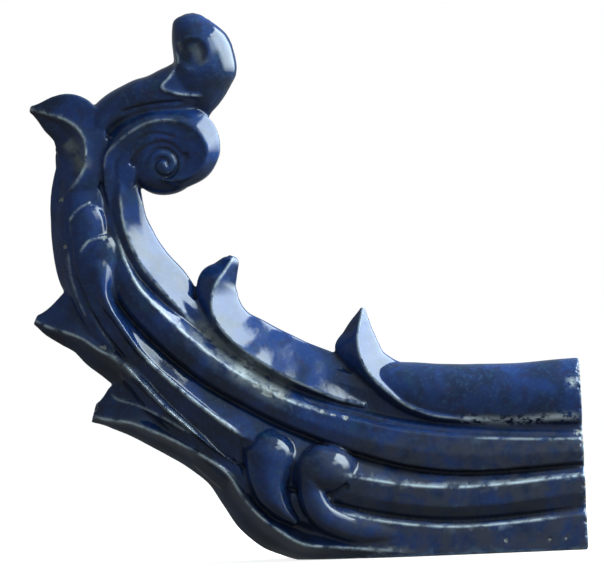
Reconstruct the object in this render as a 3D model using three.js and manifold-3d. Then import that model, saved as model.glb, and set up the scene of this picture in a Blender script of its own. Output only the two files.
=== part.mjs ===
// A glazed ceramic ridge-end ornament: a moulded ridge that sweeps up into a scroll and a bud.
// It has dorsal fins on its inner edge, leaf barbs on its outer edge and two comma curls low on its side.
// It was pressed in a two-part mould, so it is one solid and both sides are alike.
// Millimetres, +Z up. While it is drawn, x = 0 is near the cut end that meets the ridge and z = 0 the bed.
import * as THREE from "three";
import { mergeVertices } from "three/addons/utils/BufferGeometryUtils.js";
import Module from "manifold-3d";

const wasm = await Module();
wasm.setup();

// Driving dimensions
const CUT_END = 2; // x of the square cut that meets the ridge
const END_OVERRUN = 16; // x to which the ridge is drawn before it is cut
const CUT_SIZE = 1400; // side of the blocks that make the two flat cuts
const RINGS_PER_STATION = 2; // rings drawn from one station of a swept form to the next
const GLAZE_BLUE = 0x1a2a66;

// Cross-sections: [place across, share of the depth], from the left edge (-1) to the right edge (+1)
const SECTION_FIN = [[-1, 0.14], [-0.55, 0.58], [0, 1], [0.35, 0.76], [1, 0.14]];
const SECTION_WEDGE = [[-1, 0.14], [-0.55, 0.58], [0, 1], [0.35, 0.91], [1, 0.6]];
const SECTION_SLOPE = [[-1, 0.16], [-0.5, 0.64], [0, 1], [0.35, 0.94], [1, 0.74]];
const SECTION_SHOULDER = [[-1, 0.5], [-0.5, 0.8], [0, 1], [0.35, 0.94], [1, 0.74]];
const SECTION_ROLL = [[-1, 0.1], [-0.78, 0.62], [-0.4, 0.87], [0.2, 1], [0.7, 0.95], [1, 0.68]];
const SECTION_RIB = [[-1, 0.4], [-0.5, 0.77], [0, 1], [0.5, 0.77], [1, 0.4]];
const SECTION_TONGUE = [[-1, 0.7], [-0.6, 0.91], [0, 1], [0.8, 0.96], [1, 0.84]];
const SECTION_LEAF = [[-1, 0.7], [-0.45, 0.75], [-0.2, 0.85], [0, 1], [0.42, 0.62], [1, 0.18]];
const SECTION_FOOT = [[-1, 0.72], [-0.45, 0.86], [-0.2, 0.93], [0, 1], [0.42, 0.91], [1, 0.72]];
const SECTION_NECK = [[-1, 0.66], [-0.4, 0.93], [0.25, 1], [0.6, 0.8], [1, 0.15]];
const SECTION_SCOOP = [[-1, 0.8], [-0.45, 0.89], [0, 1], [0.12, 0.82], [0.4, 0.5], [1, 0.24]];
const SECTION_BAND = [[-1, 0.52], [-0.4, 0.84], [0, 1], [0.12, 0.96], [0.5, 0.9], [1, 0.7]];
const SECTION_PAD = [[-1, 0.5], [-0.87, 0.83], [-0.5, 0.97], [0, 1], [0.5, 0.97], [0.87, 0.83], [1, 0.5]];
const SECTION_ROUND = [
  [-1, 0.12], [-0.8, 0.64], [-0.35, 0.95], [0, 1], [0.35, 0.95], [0.8, 0.64], [1, 0.12],
];

// The ridge's main line is the arris under its top roll, from the cut end up into the neck.
const RIDGE_LINE = [
  [END_OVERRUN, 109], [-79, 113], [-142, 119], [-204, 131], [-283, 157], [-328, 182],
  [-360, 204], [-403, 244], [-434, 280], [-450, 320], [-458, 362], [-452, 398],
];
const RIDGE_STEPS = 37;

// The ridge's mouldings, each with its distance above (+) or below (-) the main line and its half thickness:
// at the cut end, a quarter, half and three quarters of the way, and at the top of the neck
const RIDGE_MOULDINGS = [
  { name: "core of the roll", rise: [52, 48, 42, 30, 18], half: [23, 23, 21, 18, 8] },
  { name: "roll underside", rise: [30, 32, 32, 22, 12], half: [30, 30, 28, 25, 10] },
  { name: "cove", rise: [8, 11, 14, 10, 5], half: [32, 31, 29, 27, 12] },
  { name: "arris", rise: [0, 0, 0, 0, 0], half: [45, 47, 47, 41, 14] },
  { name: "upper band", rise: [-12, -18, -12, -12, -6], half: [48, 50, 49, 41, 14] },
  { name: "upper band foot", rise: [-22, -33, -22, -22, -10], half: [46, 47, 46, 37, 14] },
  { name: "upper groove", rise: [-26, -37, -27, -28, -14], half: [40, 39, 39, 31, 13] },
  { name: "shoulder", rise: [-31, -44, -40, -34, -20], half: [46, 47, 46, 36, 14] },
  { name: "middle arris", rise: [-35, -51, -52, -41, -26], half: [53, 55, 52, 41, 14] },
  { name: "middle band", rise: [-52, -70, -66, -50, -34], half: [54, 55, 47, 35, 14] },
  { name: "lower groove", rise: [-68, -84, -80, -58, -40], half: [48, 48, 43, 32, 13] },
  { name: "lower band", rise: [-74, -90, -88, -64, -46], half: [57, 58, 45, 31, 12] },
  { name: "rim", rise: [-106, -122, -100, -70, -52], half: [59, 60, 42, 26, 10] },
  { name: "foot", rise: [-114, -136, -112, -78, -58], half: [57, 58, 26, 10, 5] },
];

// Swept forms: each station is a point on the form's crest, its reach left and right, and its half depth
const NECK_ROLL = [
  { at: [-447, 395], left: 18, right: 10, depth: 22 },
  { at: [-448, 368], left: 21, right: 10, depth: 25.5 },
  { at: [-446, 344], left: 23, right: 10, depth: 27.5 },
  { at: [-440, 322], left: 26, right: 11, depth: 30 },
  { at: [-428, 297], left: 28, right: 11, depth: 32 },
  { at: [-411, 275], left: 29, right: 11, depth: 33 },
  { at: [-393, 254], left: 24, right: 10, depth: 31 },
  { at: [-380, 240], left: 10, right: 7, depth: 25 },
  { at: [-372, 232], left: 3, right: 3, depth: 20 },
];

const UPPER_FIN = [
  { at: [-338.5, 305.5], left: 4, right: 4, depth: 5 },
  { at: [-340, 301.5], left: 8, right: 8, depth: 10 },
  { at: [-347, 291], left: 14, right: 13, depth: 16 },
  { at: [-354.6, 281], left: 22, right: 19, depth: 22 },
  { at: [-360, 268.6], left: 27, right: 17, depth: 27 },
  { at: [-361.5, 257], left: 29, right: 12, depth: 32 },
  { at: [-359, 244], left: 30, right: 10, depth: 35 },
  { at: [-349.7, 229], left: 31, right: 9, depth: 38 },
  { at: [-335, 214], left: 35, right: 9, depth: 40 },
  { at: [-311, 196], left: 38, right: 9, depth: 41 },
  { at: [-287, 181], left: 40, right: 9, depth: 41 },
  { at: [-262, 168.6], left: 41, right: 9, depth: 40 },
  { at: [-238, 158], left: 40, right: 8, depth: 37 },
  { at: [-213, 150], left: 30, right: 7, depth: 33 },
];

const LOWER_FIN = [
  { at: [-211, 248.5], left: 2.5, right: 2.5, depth: 3 },
  { at: [-212.2, 244], left: 5, right: 4, depth: 7 },
  { at: [-214.3, 236], left: 10, right: 8, depth: 13 },
  { at: [-217, 224], left: 17, right: 14, depth: 20 },
  { at: [-217.5, 211], left: 21, right: 23, depth: 26 },
  { at: [-213.6, 193.6], left: 24, right: 16, depth: 33 },
  { at: [-204, 178], left: 28, right: 13, depth: 37 },
  { at: [-190, 164], left: 32, right: 12, depth: 40 },
  { at: [-172, 149.5], left: 34, right: 10, depth: 41 },
  { at: [-150, 139.5], left: 34, right: 8, depth: 41 },
  { at: [-120, 134], left: 32, right: 7, depth: 40 },
  { at: [-90, 131], left: 26, right: 6, depth: 37 },
];

const TOP_ROLL = [
  { at: [-203, 186], left: 8, right: 10, depth: 26 },
  { at: [-192, 178], left: 17, right: 16, depth: 34 },
  { at: [-168, 168.5], left: 24, right: 24, depth: 40 },
  { at: [-120, 161.5], left: 26.5, right: 29, depth: 42 },
  { at: [-60, 158], left: 29, right: 31, depth: 42.5 },
  { at: [END_OVERRUN, 156], left: 34, right: 34, depth: 42.5 },
];

const FOOT_LEAF = [
  { at: [-485, 151], left: 13, right: 6, depth: 13 },
  { at: [-476, 148.5], left: 28, right: 6, depth: 17 },
  { at: [-464, 146.5], left: 38, right: 9, depth: 22 },
  { at: [-446, 143], left: 38, right: 13, depth: 29 },
  { at: [-429, 136], left: 33, right: 15, depth: 34 },
  { at: [-404, 124], left: 30, right: 17, depth: 39 },
  { at: [-375, 107], left: 28, right: 19, depth: 43 },
  { at: [-353, 90], left: 26, right: 22, depth: 46 },
  { at: [-340, 69], left: 25, right: 22, depth: 48 },
  { at: [-326, 50], left: 24, right: 24, depth: 50 },
  { at: [-305, 32], left: 23, right: 24, depth: 53 },
  { at: [-281, 17], left: 22, right: 18, depth: 56 },
  { at: [-254, 13], left: 21, right: 17, depth: 57 },
  { at: [-204, 8], left: 19, right: 14, depth: 55 },
  { at: [-150, 4], left: 14, right: 12, depth: 50 },
];

const MIDDLE_LEAF = [
  { at: [-539, 249], left: 6, right: 4, depth: 7 },
  { at: [-525, 242], left: 33, right: 9, depth: 13 },
  { at: [-508, 236], left: 47, right: 14, depth: 20 },
  { at: [-492, 229], left: 46, right: 16, depth: 25 },
  { at: [-475, 217], left: 42, right: 20, depth: 31 },
  { at: [-453, 204], left: 34, right: 24, depth: 39 },
  { at: [-434, 183], left: 26, right: 20, depth: 45 },
  { at: [-413, 159.5], left: 20, right: 16, depth: 48 },
  { at: [-391, 138.5], left: 16, right: 13, depth: 50 },
  { at: [-364, 114], left: 12, right: 10, depth: 50 },
  { at: [-338, 94], left: 8, right: 6, depth: 45 },
];

const TOP_LEAF = [
  { at: [-535, 460.5], left: 3, right: 3, depth: 6 },
  { at: [-515, 454], left: 20, right: 17, depth: 13 },
  { at: [-498, 447], left: 28, right: 26, depth: 18 },
  { at: [-486.5, 437], left: 27, right: 31, depth: 22 },
  { at: [-481.5, 426], left: 22, right: 29, depth: 25 },
  { at: [-481, 407], left: 18, right: 28, depth: 27 },
  { at: [-485, 395], left: 20, right: 26, depth: 28 },
  { at: [-495, 381], left: 22, right: 19, depth: 27 },
  { at: [-507, 368], left: 12, right: 6, depth: 21 },
];

const NECK_BODY = [
  { at: [-498, 438], left: 6, right: 10, depth: 6 },
  { at: [-493, 416], left: 14, right: 19, depth: 10 },
  { at: [-487, 392], left: 20, right: 26, depth: 20 },
  { at: [-484, 365], left: 22, right: 34, depth: 27 },
  { at: [-484, 330], left: 22, right: 35, depth: 28 },
  { at: [-476, 294], left: 18, right: 37, depth: 28 },
  { at: [-466, 262], left: 12, right: 30, depth: 27 },
];

const UPPER_SCALE = [
  { at: [-492, 362], left: 5, right: 5, depth: 24 },
  { at: [-485, 354], left: 16, right: 15, depth: 31 },
  { at: [-481, 336], left: 18, right: 18, depth: 33 },
  { at: [-481, 305], left: 17, right: 16, depth: 33 },
  { at: [-473, 265], left: 13, right: 12, depth: 33 },
  { at: [-458, 232], left: 6, right: 6, depth: 30 },
];

const LOWER_SCALE = [
  { at: [-483, 328], left: 5, right: 5, depth: 26 },
  { at: [-474, 321], left: 18, right: 17, depth: 34 },
  { at: [-471, 306], left: 19, right: 19, depth: 36 },
  { at: [-470, 285], left: 17, right: 17, depth: 36 },
  { at: [-462, 258], left: 10, right: 10, depth: 35 },
];

const MIDDLE_RIB = [
  { at: [-474, 311], left: 4, right: 4, depth: 33 },
  { at: [-472, 304], left: 13, right: 13, depth: 38 },
  { at: [-470, 289], left: 15, right: 15, depth: 40 },
  { at: [-467, 268], left: 13, right: 14, depth: 41 },
  { at: [-450, 237], left: 12, right: 13, depth: 43 },
  { at: [-431, 210], left: 12, right: 12, depth: 45 },
  { at: [-397, 176], left: 12, right: 12, depth: 48 },
  { at: [-363, 147], left: 12, right: 12, depth: 51 },
  { at: [-334, 124], left: 10, right: 10, depth: 52 },
];

const SCROLL_BAND = [
  { at: [-455, 335], left: 4, right: 8, depth: 14 },
  { at: [-458, 355], left: 4, right: 17, depth: 20 },
  { at: [-462, 378], left: 5, right: 29, depth: 24.5 },
  { at: [-463, 396], left: 6, right: 35, depth: 26 },
  { at: [-459.7, 411.6], left: 8, right: 28, depth: 27 },
  { at: [-441.4, 428.4], left: 15, right: 22, depth: 29 },
  { at: [-421, 440], left: 16, right: 23, depth: 30 },
  { at: [-401, 443.7], left: 15, right: 24, depth: 30 },
  { at: [-378.5, 438], left: 18, right: 28, depth: 30 },
  { at: [-366, 426], left: 18, right: 28, depth: 30 },
  { at: [-360, 411], left: 13, right: 27, depth: 30 },
  { at: [-365, 396], left: 10, right: 20, depth: 29 },
  { at: [-380, 386], left: 9, right: 14, depth: 28 },
  { at: [-396, 383], left: 9.5, right: 11, depth: 27 },
  { at: [-413, 387], left: 4, right: 6, depth: 24 },
];

const BUD_STEM = [
  { at: [-474, 428], left: 12, right: 14, depth: 19 },
  { at: [-458, 450], left: 17, right: 18, depth: 23 },
  { at: [-428, 467], left: 18, right: 25, depth: 26 },
  { at: [-412, 471], left: 19, right: 27, depth: 27 },
  { at: [-396, 473], left: 24, right: 28, depth: 27 },
  { at: [-384, 473], left: 29, right: 27, depth: 26 },
  { at: [-366, 470], left: 20, right: 22, depth: 21 },
  { at: [-350, 462], left: 6, right: 10, depth: 10 },
];

const BUD = [
  { at: [-366, 446], left: 5, right: 10, depth: 8 },
  { at: [-366.5, 456], left: 21, right: 20, depth: 16 },
  { at: [-367, 467], left: 32, right: 27.5, depth: 23 },
  { at: [-368, 484], left: 27.5, right: 38.5, depth: 30 },
  { at: [-368.6, 501], left: 21, right: 41, depth: 31 },
  { at: [-370, 526], left: 20.5, right: 34, depth: 27 },
  { at: [-370.6, 542], left: 18, right: 18, depth: 17 },
  { at: [-371, 549.5], left: 9, right: 6, depth: 6 },
];

const FIRST_CURL = [
  { at: [-309, 131], left: 8, right: 8, depth: 46 },
  { at: [-310, 124], left: 18, right: 18, depth: 57 },
  { at: [-310, 110], left: 27, right: 27, depth: 64 },
  { at: [-313, 92], left: 22, right: 22, depth: 64 },
  { at: [-312, 73], left: 16.5, right: 16.5, depth: 63 },
  { at: [-302, 54], left: 11.5, right: 11.5, depth: 61 },
  { at: [-286, 38], left: 5, right: 5, depth: 56 },
];

const SECOND_CURL_TAIL = [
  { at: [-258, 100], left: 8, right: 8, depth: 50 },
  { at: [-269, 86], left: 14, right: 14, depth: 64 },
  { at: [-271, 68], left: 16, right: 14, depth: 66 },
  { at: [-262, 47], left: 17, right: 15, depth: 65 },
  { at: [-240, 32], left: 17, right: 14, depth: 62 },
  { at: [-205, 24], left: 15, right: 13, depth: 59 },
  { at: [-150, 20], left: 10, right: 10, depth: 54 },
];

// Domes: [x, z] of the centre, reach along x and z on the face, half depth, fullness of the shoulder
const SCROLL_EYE = { at: [-404, 397], reach: [21, 21], depth: 28, fullness: 0.8 };
const SCROLL_BACKING = { at: [-403, 404], reach: [37, 35], depth: 26, fullness: 0.5 };
const SECOND_CURL_HEAD = { at: [-257, 88], reach: [39, 31], depth: 69, fullness: 0.62 };
const DOME_SIDES = 18;
const DOME_RINGS = 12;

// Smooth value at u (0 to 1) through evenly spaced values
function through(values, u) {
  const last = values.length - 1;
  const place = u * last;
  const i = Math.min(Math.floor(place), last - 1);
  const t = place - i;
  const [a, b, c, d] = [i - 1, i, i + 1, i + 2].map((k) => values[Math.max(0, Math.min(last, k))]);
  return b + 0.5 * t * (c - a + t * (2 * a - 5 * b + 4 * c - d + t * (3 * (b - c) + d - a)));
}

// A smooth curve in the x-z plane through points
function planeCurve(points) {
  const places = points.map(([x, z]) => new THREE.Vector3(x, 0, z));
  return new THREE.CatmullRomCurve3(places, false, "centripetal");
}

// One closed ring: half points are [distance right of travel, half thickness], mirrored to the far side
function mirroredRing(point, tangent, halfPoints) {
  const right = new THREE.Vector3(tangent.z, 0, -tangent.x).normalize();
  const place = ([across, thick], side) =>
    point.clone().addScaledVector(right, across).setY(side * thick);
  const near = halfPoints.map((p) => place(p, -1));
  const far = halfPoints.map((p) => place(p, 1)).reverse();
  return [...near, ...far];
}

// A solid from equal rings, closed at both ends by a fan of triangles
function loftSolid(rings) {
  const sides = rings[0].length;
  const points = rings.flat();
  const faces = [];
  for (let r = 0; r + 1 < rings.length; r++) {
    for (let s = 0; s < sides; s++) {
      const a = r * sides + s;
      const b = r * sides + ((s + 1) % sides);
      faces.push([a, b, b + sides], [a, b + sides, a + sides]);
    }
  }
  for (const [ring, turned] of [[0, true], [rings.length - 1, false]]) {
    const hub = points.length;
    const middle = new THREE.Vector3();
    rings[ring].forEach((p) => middle.addScaledVector(p, 1 / sides));
    points.push(middle);
    for (let s = 0; s < sides; s++) {
      const a = ring * sides + s;
      const b = ring * sides + ((s + 1) % sides);
      faces.push(turned ? [hub, b, a] : [hub, a, b]);
    }
  }
  const solid = makeSolid(points.flatMap((p) => p.toArray()), faces.flat());
  return solid.volume() > 0 ? solid : makeSolid(points.flatMap((p) => p.toArray()), faces.flat().reverse());
}

function makeSolid(coordinates, corners) {
  return new wasm.Manifold(
    new wasm.Mesh({
      numProp: 3,
      vertProperties: new Float32Array(coordinates),
      triVerts: new Uint32Array(corners),
    }),
  );
}

function solidFromGeometry(geometry) {
  geometry.deleteAttribute("normal");
  geometry.deleteAttribute("uv");
  const merged = mergeVertices(geometry);
  return makeSolid(merged.attributes.position.array, merged.index.array);
}

// A form swept along its stations; the section changes from the first one to the last one on the way
function sweptForm(stations, firstSection, options = {}) {
  const { lastSection = firstSection, change = [0, 1], rings: perStation = RINGS_PER_STATION } = options;
  const line = planeCurve(stations.map((s) => s.at));
  const steps = Math.round((stations.length - 1) * perStation);
  const rings = [];
  for (let i = 0; i <= steps; i++) {
    const u = i / steps;
    const size = (key) => through(stations.map((s) => s[key]), u);
    const blend = THREE.MathUtils.smoothstep(u, ...change);
    const halfPoints = firstSection.map(([across, share], k) => {
      const place = THREE.MathUtils.lerp(across, lastSection[k][0], blend);
      const height = THREE.MathUtils.lerp(share, lastSection[k][1], blend);
      return [place * size(place < 0 ? "left" : "right"), height * size("depth")];
    });
    rings.push(mirroredRing(line.getPoint(u), line.getTangent(u), halfPoints));
  }
  return loftSolid(rings);
}

// The moulded ridge: every moulding runs the whole way at its own distance from the main line
function ridge() {
  const line = planeCurve(RIDGE_LINE);
  const rings = [];
  for (let i = 0; i <= RIDGE_STEPS; i++) {
    const u = i / RIDGE_STEPS;
    const halfPoints = RIDGE_MOULDINGS.map((m) => [through(m.rise, u), through(m.half, u)]);
    rings.push(mirroredRing(line.getPointAt(u), line.getTangentAt(u), halfPoints));
  }
  return loftSolid(rings);
}

// A dome on both faces; a fullness under 1 makes its shoulder steeper than a sphere's
function dome({ at, reach, depth, fullness }) {
  const geometry = new THREE.SphereGeometry(1, DOME_SIDES, DOME_RINGS).rotateX(Math.PI / 2);
  const place = geometry.attributes.position;
  for (let i = 0; i < place.count; i++) {
    const y = place.getY(i);
    place.setY(i, Math.sign(y) * Math.abs(y) ** fullness);
  }
  geometry.scale(reach[0], depth, reach[1]).translate(at[0], 0, at[1]);
  return solidFromGeometry(geometry);
}

// A block that removes everything beyond one flat cut
function cutBlock(x, z) {
  return solidFromGeometry(new THREE.BoxGeometry(CUT_SIZE, CUT_SIZE, CUT_SIZE).translate(x, 0, z));
}

const forms = [
  sweptForm(NECK_ROLL, SECTION_SHOULDER, { lastSection: SECTION_SLOPE, change: [0.1, 0.5], rings: 1 }),
  sweptForm(UPPER_FIN, SECTION_FIN, { lastSection: SECTION_WEDGE, change: [0.1, 0.35], rings: 1.5 }),
  sweptForm(LOWER_FIN, SECTION_FIN, { lastSection: SECTION_WEDGE, change: [0.2, 0.6], rings: 1.5 }),
  sweptForm(TOP_ROLL, SECTION_ROLL),
  sweptForm(FOOT_LEAF, SECTION_LEAF, { lastSection: SECTION_FOOT, change: [0.7, 0.95], rings: 1 }),
  sweptForm(MIDDLE_LEAF, SECTION_LEAF, { rings: 1.5 }),
  sweptForm(TOP_LEAF, SECTION_SCOOP, { rings: 1.5 }),
  sweptForm(NECK_BODY, SECTION_NECK),
  sweptForm(UPPER_SCALE, SECTION_TONGUE, { rings: 1 }),
  sweptForm(LOWER_SCALE, SECTION_TONGUE, { rings: 1 }),
  sweptForm(MIDDLE_RIB, SECTION_TONGUE, { lastSection: SECTION_RIB, change: [0.1, 0.5], rings: 1 }),
  sweptForm(SCROLL_BAND, SECTION_BAND),
  sweptForm(BUD_STEM, SECTION_ROUND, { rings: 1 }),
  sweptForm(BUD, SECTION_ROUND),
  sweptForm(FIRST_CURL, SECTION_PAD),
  sweptForm(SECOND_CURL_TAIL, SECTION_PAD),
  dome(SCROLL_EYE),
  dome(SCROLL_BACKING),
  dome(SECOND_CURL_HEAD),
];
const whole = forms
  .reduce((body, form) => body.add(form), ridge())
  .subtract(cutBlock(-CUT_SIZE / 4, -CUT_SIZE / 2))
  .subtract(cutBlock(CUT_END + CUT_SIZE / 2, 0));

// The finished solid as one mesh, stood on the origin
const mesh = whole.getMesh();
const geometry = new THREE.BufferGeometry();
geometry.setAttribute("position", new THREE.BufferAttribute(mesh.vertProperties, mesh.numProp));
geometry.setIndex(new THREE.BufferAttribute(mesh.triVerts, 1));
geometry.computeBoundingBox();

const glaze = new THREE.MeshStandardMaterial({ color: GLAZE_BLUE, roughness: 0.12, metalness: 0 });
const ornament = new THREE.Mesh(geometry, glaze);
ornament.name = "ridge_ornament";
ornament.position.x = -(geometry.boundingBox.min.x + geometry.boundingBox.max.x) / 2;

const part = new THREE.Group();
part.add(ornament);

export default part;
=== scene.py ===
"""Glazed ceramic ridge-end ornament: one pressed casting under a thick cobalt glaze, on a pale floor."""
import math

import bmesh
import bpy
import numpy as np
from mathutils import Matrix, Vector


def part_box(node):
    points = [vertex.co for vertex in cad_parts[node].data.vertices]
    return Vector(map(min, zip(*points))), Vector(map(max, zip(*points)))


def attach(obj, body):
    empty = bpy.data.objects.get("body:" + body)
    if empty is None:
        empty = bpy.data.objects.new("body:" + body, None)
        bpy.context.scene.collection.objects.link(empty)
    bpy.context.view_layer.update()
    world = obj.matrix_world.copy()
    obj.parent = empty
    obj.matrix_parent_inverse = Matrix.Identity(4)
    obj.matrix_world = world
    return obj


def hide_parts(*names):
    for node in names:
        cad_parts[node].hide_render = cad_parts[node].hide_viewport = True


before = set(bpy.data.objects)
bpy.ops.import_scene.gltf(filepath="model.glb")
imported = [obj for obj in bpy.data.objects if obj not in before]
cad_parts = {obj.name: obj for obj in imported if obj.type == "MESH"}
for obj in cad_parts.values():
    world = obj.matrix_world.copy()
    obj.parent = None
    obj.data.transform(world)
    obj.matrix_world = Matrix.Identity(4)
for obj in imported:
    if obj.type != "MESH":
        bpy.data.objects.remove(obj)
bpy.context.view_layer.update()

# Sizes are in millimetres, as in the drawing of the part: x = 0 near the cut end, z = 0 the bed.
MM = 0.001
NODE = "ridge_ornament"
_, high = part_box(NODE)
END = high[0] / MM  # the cut end's x in the frame
CUT_END = 2.0  # and in the drawing
END_OVERRUN = 16.0  # x to which the ridge is drawn before it is cut
SHIFT = END - CUT_END  # from the drawing's x to the frame's x
FLAT_GAP = 0.05  # a point this near to the bed or the cut end lies on it
VOXEL = 1.3  # grain of the mesh in which the forms are joined and carved
TRIANGLES = 190000  # triangles kept of it
CURVE_STEPS = 400  # points of a line to which distances are measured

# Cross-sections: (place across, share of the depth) from the left edge (-1) to the right edge (+1)
FIN = [(-1, .14), (-.94, .24), (-.72, .44), (-.5, .62), (-.25, .82), (-.06, .97), (0, 1), (.3, .8),
       (.65, .48), (1, .14)]
WEDGE = [(-1, .14), (-.96, .24), (-.75, .43), (-.5, .62), (-.25, .82), (-.06, .97), (0, 1), (.3, .92),
         (.65, .78), (1, .6)]
SLOPE = [(-1, .14), (-.96, .26), (-.75, .45), (-.5, .64), (-.25, .84), (-.06, .98), (0, 1), (.3, .95),
         (.65, .86), (1, .74)]
SHOULDER = [(-1, .5), (-.96, .57), (-.75, .69), (-.5, .8), (-.25, .91), (-.06, .985), (0, 1), (.3, .95),
            (.65, .86), (1, .74)]
ROLL = [(-1, .1), (-.94, .36), (-.78, .62), (-.5, .83), (-.15, .95), (.2, 1), (.55, .985), (.86, .9),
        (1, .68)]
RIB = [(-1, .4), (-.75, .58), (-.45, .8), (-.15, .97), (0, 1), (.15, .97), (.45, .8), (.75, .58), (1, .4)]
TONGUE = [(-1, .7), (-.9, .8), (-.6, .91), (-.3, .97), (0, 1), (.3, 1), (.6, .985), (.9, .93), (1, .84)]
LEAF = [(-1, .7), (-.75, .71), (-.45, .75), (-.2, .85), (0, 1), (.08, .93), (.42, .62), (.75, .4), (1, .18)]
NECK = [(-1, .66), (-.7, .84), (-.4, .93), (-.05, .99), (.25, 1), (.45, .94), (.64, .76), (.82, .48),
        (1, .15)]
SCOOP = [(-1, .8), (-.75, .85), (-.45, .89), (-.15, .95), (0, 1), (.07, .88), (.32, .54), (.7, .4), (1, .24)]
BAND = [(-1, .52), (-.6, .74), (-.22, .94), (0, 1), (.1, .965), (.3, .92), (.55, .9), (.85, .86), (1, .68)]
FOOT = [(-1, .72), (-.75, .8), (-.45, .86), (-.16, .94), (0, 1), (.12, .97), (.45, .9), (.75, .82), (1, .72)]
PAD = [(-1, .5), (-.93, .72), (-.8, .88), (-.5, .97), (0, 1), (.5, .97), (.8, .88), (.93, .72), (1, .5)]
DROP = [(-1, .5), (-.93, .68), (-.8, .82), (-.5, .94), (0, 1), (.5, .94), (.8, .82), (.93, .68), (1, .5)]
ROUND = [(-1, .12), (-.92, .42), (-.74, .7), (-.4, .93), (0, 1), (.4, .93), (.74, .7), (.92, .42), (1, .12)]

# The ridge's main line is the arris under its top roll, from the cut end up into the neck.
RIDGE_LINE = [(END_OVERRUN, 109), (-79, 113), (-142, 119), (-204, 131), (-283, 157), (-328, 182),
              (-360, 204), (-403, 244), (-434, 280), (-450, 320), (-458, 362), (-452, 398)]

# Its mouldings: distance above (+) or below (-) the main line, and half thickness, at the cut end,
# a quarter, half and three quarters of the way, and at the top of the neck
RIDGE_MOULDINGS = {
    "core of the roll": ((52, 48, 42, 30, 18), (23, 23, 21, 18, 8)),
    "roll underside": ((30, 32, 32, 22, 12), (30, 30, 28, 25, 10)),
    "cove": ((8, 11, 14, 10, 5), (32, 31, 29, 27, 12)),
    "arris": ((0, 0, 0, 0, 0), (45, 47, 47, 41, 14)),
    "upper band": ((-12, -18, -12, -12, -6), (48, 50, 49, 41, 14)),
    "upper band foot": ((-22, -33, -22, -22, -10), (46, 47, 46, 37, 14)),
    "upper groove": ((-26, -37, -27, -28, -14), (40, 39, 39, 31, 13)),
    "shoulder": ((-31, -44, -40, -34, -20), (46, 47, 46, 36, 14)),
    "middle arris": ((-35, -51, -52, -41, -26), (53, 55, 52, 41, 14)),
    "middle band": ((-52, -70, -66, -50, -34), (54, 55, 47, 35, 14)),
    "lower groove": ((-68, -84, -80, -58, -40), (48, 48, 43, 32, 13)),
    "lower band": ((-74, -90, -88, -64, -46), (57, 58, 45, 31, 12)),
    "rim": ((-106, -122, -100, -70, -52), (59, 60, 42, 26, 10)),
    "foot": ((-114, -136, -112, -78, -58), (57, 58, 26, 10, 5)),
}

# Swept forms: (x, z) of the crest, reach to its left and right, and half depth, at each station
NECK_ROLL = [
    (-447, 395, 18, 10, 22), (-448, 368, 21, 10, 25.5), (-446, 344, 23, 10, 27.5), (-440, 322, 26, 11, 30),
    (-428, 297, 28, 11, 32), (-411, 275, 29, 11, 33), (-393, 254, 24, 10, 31), (-380, 240, 10, 7, 25),
    (-372, 232, 3, 3, 20)]
UPPER_FIN = [
    (-338.5, 305.5, 4, 4, 5), (-340, 301.5, 8, 8, 10), (-347, 291, 14, 13, 16), (-354.6, 281, 22, 19, 22),
    (-360, 268.6, 27, 17, 27), (-361.5, 257, 29, 12, 32), (-359, 244, 30, 10, 35), (-349.7, 229, 31, 9, 38),
    (-335, 214, 35, 9, 40), (-311, 196, 38, 9, 41), (-287, 181, 40, 9, 41), (-262, 168.6, 41, 9, 40),
    (-238, 158, 40, 8, 37), (-213, 150, 30, 7, 33)]
LOWER_FIN = [
    (-211, 248.5, 2.5, 2.5, 3), (-212.2, 244, 5, 4, 7), (-214.3, 236, 10, 8, 13), (-217, 224, 17, 14, 20),
    (-217.5, 211, 21, 23, 26), (-213.6, 193.6, 24, 16, 33), (-204, 178, 28, 13, 37), (-190, 164, 32, 12, 40),
    (-172, 149.5, 34, 10, 41), (-150, 139.5, 34, 8, 41), (-120, 134, 32, 7, 40), (-90, 131, 26, 6, 37)]
TOP_ROLL = [
    (-203, 186, 8, 10, 26), (-192, 178, 17, 16, 34), (-168, 168.5, 24, 24, 40), (-120, 161.5, 26.5, 29, 42),
    (-60, 158, 29, 31, 42.5), (END_OVERRUN, 156, 34, 34, 42.5)]
FOOT_LEAF = [
    (-485, 151, 13, 6, 13), (-476, 148.5, 28, 6, 17), (-464, 146.5, 38, 9, 22), (-446, 143, 38, 13, 29),
    (-429, 136, 33, 15, 34), (-404, 124, 30, 17, 39), (-375, 107, 28, 19, 43), (-353, 90, 26, 22, 46),
    (-340, 69, 25, 22, 48), (-326, 50, 24, 24, 50), (-305, 32, 23, 24, 53), (-281, 17, 22, 18, 56),
    (-254, 13, 21, 17, 57), (-204, 8, 19, 14, 55), (-150, 4, 14, 12, 50)]
MIDDLE_LEAF = [
    (-539, 249, 6, 4, 7), (-525, 242, 33, 9, 13), (-508, 236, 47, 14, 20), (-492, 229, 46, 16, 25),
    (-475, 217, 42, 20, 31), (-453, 204, 34, 24, 39), (-434, 183, 26, 20, 45), (-413, 159.5, 20, 16, 48),
    (-391, 138.5, 16, 13, 50), (-364, 114, 12, 10, 50), (-338, 94, 8, 6, 45)]
TOP_LEAF = [
    (-535, 460.5, 3, 3, 6), (-515, 454, 20, 17, 13), (-498, 447, 28, 26, 18), (-486.5, 437, 27, 31, 22),
    (-481.5, 426, 22, 29, 25), (-481, 407, 18, 28, 27), (-485, 395, 20, 26, 28), (-495, 381, 22, 19, 27),
    (-507, 368, 12, 6, 21)]
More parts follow.
